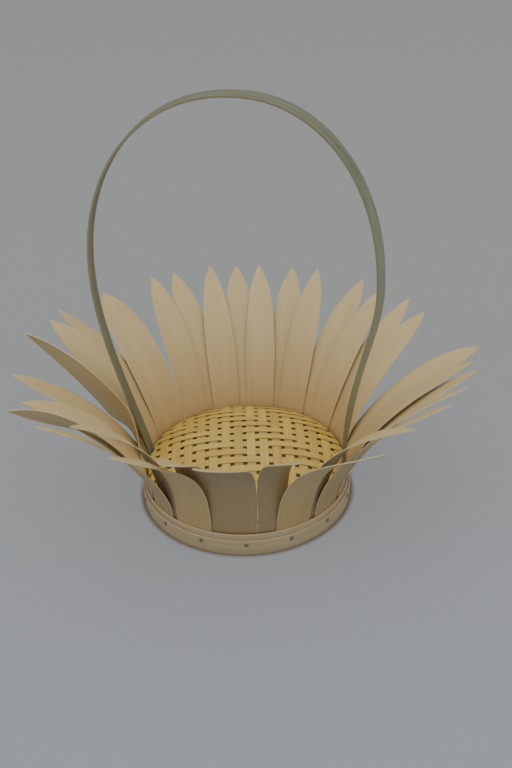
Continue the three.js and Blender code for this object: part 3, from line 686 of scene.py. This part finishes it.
# Woven floor
# Flat yellow splints woven three over and three under on a low dome, with a small square
# hole at every corner. They turn down over the wall's edge and end on the liner.
SPLINT_PITCH = 0.012
SPLINT_WIDTH = 0.0081
SPLINT_THICKNESS = 0.001
WEAVE_FLOAT = 3
WEAVE_SHIFT = (0.0052, -0.0034)
FLOOR_EDGE_HEIGHT = 0.034
FLOOR_CROWN = 0.0204
FLOOR_CROWN_POWER = 2.5
SHOULDER = 0.004
SHOULDER_START = 0.09248
SPLINT_VISIBLE_THICKNESS = 0.0005
SPLINT_CORNER = 0.00012
SPLINTS_EACH_SIDE = 8
LEAST_SPLINT_REACH = 0.001
WEAVE_HALF_STEP = 0.00027
WEAVE_STATION = 0.0011
FLOOR_TONE_SPREAD = 0.3

# Beside the handle's ends, over so many times their width, the weave stays a notch inside the
# liner
HANDLE_NOTCH = 0.0008
HANDLE_NOTCH_WIDTH = 1.1

# How much of the edge colour, which is painted shade, the splints that run from front to back
# take: on their edges, and where they pass under and lie in shade between the crossing splints
EDGE_SHADE_SHARE = 0.4
UNDER_SHADE_SHARE = 0.5


def dome_height(radius):
    """The floor's top: the edge height and a crown that falls off with a power of the
    radius."""
    return FLOOR_EDGE_HEIGHT + FLOOR_CROWN * (1 - (radius / LINER_OUTSIDE) ** FLOOR_CROWN_POWER)


def dome_slope(radius):
    """How steeply the floor falls at a radius: the angle of the height's derivative."""
    power = FLOOR_CROWN_POWER - 1
    fall = FLOOR_CROWN * FLOOR_CROWN_POWER / LINER_OUTSIDE * (radius / LINER_OUTSIDE) ** power
    return np.arctan(fall)


shoulder_slope = dome_slope(SHOULDER_START)
shoulder_length = SHOULDER * (np.pi / 2 - shoulder_slope)
skirt_reach = (SHOULDER_START + shoulder_length + dome_height(SHOULDER_START)
               - SHOULDER * np.cos(shoulder_slope) - LINER_TOP - FIT)


def over_the_edge(x, y, raised):
    """Lays a flat plan on the floor: out to the shoulder it follows the dome, then a round
    shoulder, then straight down. Raised is the height above the middle of the weave, square
    to the surface. Beside the handle's ends the weave stays inside the liner."""
    radius = np.hypot(x, y)
    past = np.clip(radius - SHOULDER_START, 0, None)
    on_arc = np.minimum(past, shoulder_length)
    slope = np.where(past > 0, shoulder_slope + on_arc / SHOULDER, dome_slope(radius))
    down = past - on_arc
    out = (np.minimum(radius, SHOULDER_START)
           + SHOULDER * (np.sin(slope) - np.sin(shoulder_slope)) * (past > 0))
    height = (dome_height(np.minimum(radius, SHOULDER_START))
              - SHOULDER * (np.cos(shoulder_slope) - np.cos(slope)) * (past > 0) - down)
    above_middle = raised - SPLINT_THICKNESS
    out = out + above_middle * np.sin(slope)
    height = height + above_middle * np.cos(slope)
    azimuth = np.arctan2(y, x)
    near_handle = np.abs(np.sin(azimuth - HANDLE_TURN)) < HANDLE_HALF_GAP * HANDLE_NOTCH_WIDTH
    out = np.where(near_handle, np.minimum(out, LINER_INSIDE - HANDLE_NOTCH), out)
    return np.stack([out * np.cos(azimuth), out * np.sin(azimuth), height], axis=-1)


def runs_over(column, row):
    """Whether the splint that runs along X passes over where it crosses a column."""
    return np.mod(column + row - 2, 2 * WEAVE_FLOAT) < WEAVE_FLOAT


def level_at(position, shift, is_over):
    """One over a crossing, minus one under it, and a smooth step in the gap between."""
    place = (position - shift) / SPLINT_PITCH
    left = np.floor(place).astype(int)
    gap = 1 - SPLINT_WIDTH / SPLINT_PITCH
    before = np.where(is_over(left), 1.0, -1.0)
    after = np.where(is_over(left + 1), 1.0, -1.0)
    return before + (after - before) * smooth_step(place - left, (1 - gap) / 2, (1 + gap) / 2)


# The dark edge colour is painted shade along the splints' edges and where they pass under
yellow_splint = wood_material("yellow_splint", (0.54, 0.36, 0.075), (0.66, 0.45, 0.095),
                              (0.74, 0.53, 0.13), edge_colour=(0.24, 0.15, 0.035), roughness=0.45,
                              line_spacing=0.0006, streak_spacing=0.003, tone_spread=0.4)
floor_random = np.random.default_rng(11)
floor_pieces = []
for direction in ("across", "along"):
    along_x = direction == "across"
    lateral_shift = WEAVE_SHIFT[1] if along_x else WEAVE_SHIFT[0]
    length_shift = WEAVE_SHIFT[0] if along_x else WEAVE_SHIFT[1]
    for line_number in range(-SPLINTS_EACH_SIDE, SPLINTS_EACH_SIDE + 1):
        centre = lateral_shift + line_number * SPLINT_PITCH
        half = SPLINT_WIDTH / 2
        if abs(centre) + half > skirt_reach - LEAST_SPLINT_REACH:
            continue
        place = columns_across(3, 0.02)
        lateral = centre + place * half
        reach = np.sqrt(skirt_reach**2 - lateral**2)
        stations = int(np.ceil(2 * reach.max() / WEAVE_STATION))
        length = np.linspace(-1, 1, stations)[:, None] * reach[None, :]
        lateral = np.broadcast_to(lateral[None, :], length.shape)
        if along_x:
            up = level_at(length, length_shift, lambda c: runs_over(c, line_number))
            middle = over_the_edge(length, lateral, up * WEAVE_HALF_STEP)
        else:
            up = level_at(length, length_shift, lambda r: ~runs_over(line_number, r))
            middle = over_the_edge(lateral, length, up * WEAVE_HALF_STEP)
        splint_number = line_number + SPLINTS_EACH_SIDE + 1
        splint = strip_object(f"floor_{direction}_{splint_number:02d}", middle + AXIS,
                              SPLINT_VISIBLE_THICKNESS, lateral + floor_random.uniform(0, 40),
                              length, SPLINT_CORNER)
        if not along_x:
            # Painted shade where the splint passes under the crossing splints
            under_shade = on_both_faces(np.clip(-up, 0.0, 1.0))
            change_values(splint, "edge",
                          lambda edge: np.maximum(EDGE_SHADE_SHARE * edge, UNDER_SHADE_SHARE * under_shade))
        splint.data.materials.append(yellow_splint)
        write_values(splint, "tone", floor_random.uniform(-FLOOR_TONE_SPREAD, FLOOR_TONE_SPREAD))
        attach(splint, "root")
        floor_pieces.append(splint)
for splint in floor_pieces:
    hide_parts("woven_floor")


# Tacks
# Small iron tacks with low domed heads, driven through the hoop, the petals' feet and the
# liner all round.
TACK_COUNT = 15
TACK_FIRST_AZIMUTH = -43.5
TACK_HEIGHT = 0.0105
TACK_HEAD_RADIUS = 0.002
TACK_HEAD_HEIGHT = 0.0009
TACK_SHANK_RADIUS = 0.0007
TACK_SEAT_GAP = 0.0001
TACK_SHARP_ANGLE = np.radians(50)
DOME_STATIONS = 7


def turned_object(name, profile, azimuth, steps=20):
    """A profile of radius and distance, turned about a line that runs out from the hoop's
    axis at the tacks' height. The profile starts and ends on that line."""
    angle = np.linspace(0, 2 * np.pi, steps, endpoint=False)
    radius, distance = profile[1:-1].T
    side = radius[:, None] * np.cos(angle)[None, :]
    up = radius[:, None] * np.sin(angle)[None, :]
    out = np.broadcast_to(distance[:, None], side.shape)
    c, s = np.cos(np.radians(azimuth)), np.sin(np.radians(azimuth))
    rings = np.stack([out * c - side * s, out * s + side * c, TACK_HEIGHT + up], axis=-1)
    poles = [(d * c, d * s, TACK_HEIGHT) for d in (profile[0, 1], profile[-1, 1])]
    points = np.concatenate([rings.reshape(-1, 3), poles]) + AXIS
    rows = len(profile) - 2
    k = np.arange(steps)
    k_next = (k + 1) % steps
    i = np.arange(rows - 1)[:, None] * steps
    quads = np.stack([i + k, i + k_next, i + steps + k_next, i + steps + k], axis=-1).reshape(-1, 4)
    first, last = rows * steps, rows * steps + 1
    end = (rows - 1) * steps
    fans = [(first, int(b), int(a)) for a, b in zip(k, k_next)]
    fans += [(last, int(end + a), int(end + b)) for a, b in zip(k, k_next)]
    mesh = bpy.data.meshes.new(name)
    mesh.from_pydata(points.tolist(), [], quads.tolist() + fans)
    mesh.shade_smooth()
    mesh.set_sharp_from_angle(angle=TACK_SHARP_ANGLE)
    piece = bpy.data.objects.new(name, mesh)
    bpy.context.scene.collection.objects.link(piece)
    return piece


tack_steel = bpy.data.materials.new("tack_steel")
tack_steel.use_nodes = True
tack_nodes, tack_links = tack_steel.node_tree.nodes, tack_steel.node_tree.links
tack_place = tack_nodes.new("ShaderNodeTexCoord")
tarnish = tack_nodes.new("ShaderNodeTexNoise")
tarnish.inputs["Scale"].default_value = 900.0
tarnish.inputs["Detail"].default_value = 3.0
tack_links.new(tack_place.outputs["Object"], tarnish.inputs["Vector"])
tarnish_colour = tack_nodes.new("ShaderNodeValToRGB")
tarnish_colour.color_ramp.elements[0].position = 0.35
tarnish_colour.color_ramp.elements[0].color = (0.15, 0.115, 0.07, 1.0)
tarnish_colour.color_ramp.elements[1].position = 0.7
tarnish_colour.color_ramp.elements[1].color = (0.25, 0.195, 0.13, 1.0)
tack_links.new(tarnish.outputs["Fac"], tarnish_colour.inputs[0])
tack_shader = tack_nodes["Principled BSDF"]
tack_links.new(tarnish_colour.outputs["Color"], tack_shader.inputs["Base Color"])
tack_shader.inputs["Metallic"].default_value = 0.1
tack_shader.inputs["Roughness"].default_value = 0.45

head_seat = HOOP_RADIUS + TACK_SEAT_GAP
dome = np.linspace(0, np.pi / 2, DOME_STATIONS)
tack_shank = [[0.0, LINER_INSIDE], [TACK_SHANK_RADIUS, LINER_INSIDE],
              [TACK_SHANK_RADIUS, head_seat]]
tack_head = np.stack([TACK_HEAD_RADIUS * np.cos(dome),
                      head_seat + TACK_HEAD_HEIGHT * np.sin(dome)], axis=-1)
tack_profile = np.concatenate([tack_shank, tack_head])
tack_profile[-1, 0] = 0.0
for number in range(TACK_COUNT):
    azimuth = TACK_FIRST_AZIMUTH + 360 / TACK_COUNT * number
    tack = turned_object(f"tack_{number + 1:02d}_turned", tack_profile, azimuth)
    tack.data.materials.append(tack_steel)
    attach(tack, "root")
    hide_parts(f"tack_{number + 1:02d}")


# Studio
# A plain pale grey sheet that runs back under the basket and curves up behind it. It glows
# a little with painted light, bluer in front, so that the shadows stay faint, and the glow
# dims under the basket into a painted contact shadow round the hoop. A broad soft light
# overhead and an even fill from all round do the rest.
SHEET_WIDTH = 7.0
SHEET_FRONT = -2.5
SHEET_BACK = 3.2
SHEET_CURVE = 0.9
SHEET_RISE = 2.2
SHEET_FLAT_STATIONS = 12
SHEET_CURVE_STATIONS = 24
SHEET_COLUMNS = 15
SHEET_COLOUR = (0.115, 0.115, 0.118, 1.0)
# Painted light: the sheet's glow, a little bluer in front than behind
GLOW_IN_FRONT = (0.225, 0.244, 0.27, 1.0)
GLOW_BEHIND = (0.203, 0.207, 0.206, 1.0)
GLOW_FROM_Y = -0.3
GLOW_TO_Y = 0.25
# Painted contact shadow: the dim glow inside the hoop, rising to the full glow over this width
# outside it
GLOW_IN_CONTACT_SHADOW = (0.06, 0.038, 0.010, 1.0)
CONTACT_SHADOW_WIDTH = 0.006

curve_start = SHEET_BACK - SHEET_CURVE
flat_run = np.linspace(SHEET_FRONT, curve_start, SHEET_FLAT_STATIONS)
bend_angle = np.linspace(0, np.pi / 2, SHEET_CURVE_STATIONS)
sheet_line = np.concatenate([
    np.stack([flat_run, np.zeros_like(flat_run)], axis=-1),
    np.stack([curve_start + SHEET_CURVE * np.sin(bend_angle),
              SHEET_CURVE * (1 - np.cos(bend_angle))], axis=-1)[1:],
    [[SHEET_BACK, SHEET_RISE]],
])
sheet_points = np.empty((len(sheet_line), SHEET_COLUMNS, 3))
sheet_points[..., 0] = np.linspace(-SHEET_WIDTH / 2, SHEET_WIDTH / 2, SHEET_COLUMNS)[None, :]
sheet_points[..., 1:] = sheet_line[:, None, :]
row = np.arange(len(sheet_line) - 1)[:, None] * SHEET_COLUMNS
corner = row + np.arange(SHEET_COLUMNS - 1)[None, :]
sheet_faces = np.stack([corner, corner + 1, corner + 1 + SHEET_COLUMNS, corner + SHEET_COLUMNS],
                       axis=-1).reshape(-1, 4)
sheet_mesh = bpy.data.meshes.new("backdrop")
sheet_mesh.from_pydata(sheet_points.reshape(-1, 3).tolist(), [], sheet_faces.tolist())
sheet_mesh.shade_smooth()
backdrop = bpy.data.objects.new("backdrop", sheet_mesh)
bpy.context.scene.collection.objects.link(backdrop)
sheet_paper = bpy.data.materials.new("backdrop_paper")
sheet_paper.use_nodes = True
paper_shader = sheet_paper.node_tree.nodes["Principled BSDF"]
paper_shader.inputs["Base Color"].default_value = SHEET_COLOUR
paper_nodes, paper_links = sheet_paper.node_tree.nodes, sheet_paper.node_tree.links
paper_place = paper_nodes.new("ShaderNodeTexCoord")
from_axis = paper_nodes.new("ShaderNodeVectorMath")
from_axis.operation = "DISTANCE"
from_axis.inputs[1].default_value = AXIS
paper_links.new(paper_place.outputs["Object"], from_axis.inputs[0])
# Painted contact shadow: the glow is dimmed near and under the basket
clear_of_contact_shadow = paper_nodes.new("ShaderNodeMapRange")
clear_of_contact_shadow.interpolation_type = "SMOOTHSTEP"
clear_of_contact_shadow.inputs["From Min"].default_value = HOOP_RADIUS
clear_of_contact_shadow.inputs["From Max"].default_value = HOOP_RADIUS + CONTACT_SHADOW_WIDTH
paper_links.new(from_axis.outputs["Value"], clear_of_contact_shadow.inputs["Value"])
front_to_back = paper_nodes.new("ShaderNodeSeparateXYZ")
paper_links.new(paper_place.outputs["Object"], front_to_back.inputs[0])
glow_colour = paper_nodes.new("ShaderNodeValToRGB")
glow_colour.color_ramp.elements[0].color = GLOW_IN_FRONT
glow_colour.color_ramp.elements[1].color = GLOW_BEHIND
glow_place = paper_nodes.new("ShaderNodeMapRange")
glow_place.inputs["From Min"].default_value = GLOW_FROM_Y
glow_place.inputs["From Max"].default_value = GLOW_TO_Y
paper_links.new(front_to_back.outputs["Y"], glow_place.inputs["Value"])
paper_links.new(glow_place.outputs["Result"], glow_colour.inputs[0])
glow = paper_nodes.new("ShaderNodeMix")
glow.data_type = "RGBA"
glow.inputs["A"].default_value = GLOW_IN_CONTACT_SHADOW
paper_links.new(clear_of_contact_shadow.outputs["Result"], glow.inputs["Factor"])
paper_links.new(glow_colour.outputs["Color"], glow.inputs["B"])
paper_links.new(glow.outputs["Result"], paper_shader.inputs["Emission Color"])
paper_shader.inputs["Emission Strength"].default_value = 1.0
paper_shader.inputs["Roughness"].default_value = 0.85
backdrop.data.materials.append(sheet_paper)

sky = bpy.data.worlds.new("studio_fill")
sky.use_nodes = True
sky.node_tree.nodes["Background"].inputs["Color"].default_value = (0.97, 0.985, 1.0, 1.0)
sky.node_tree.nodes["Background"].inputs["Strength"].default_value = 0.72
bpy.context.scene.world = sky


def area_light(name, place, aim, size, power, colour):
    """A square soft light at a place, turned to face another."""
    data = bpy.data.lights.new(name, "AREA")
    data.shape = "SQUARE"
    data.size = size
    data.energy = power
    data.color = colour
    light = bpy.data.objects.new(name, data)
    light.location = place
    light.rotation_euler = (Vector(aim) - Vector(place)).to_track_quat("-Z", "Y").to_euler()
    bpy.context.scene.collection.objects.link(light)
    return light


area_light("overhead", (-0.2, -0.4, 2.4), (0.0, 0.0, 0.1), 3.0, 22.0, (1.0, 0.98, 0.95))
area_light("front_fill", (0.3, -2.4, 0.9), (0.0, 0.0, 0.05), 2.0, 3.0, (1.0, 0.99, 0.97))
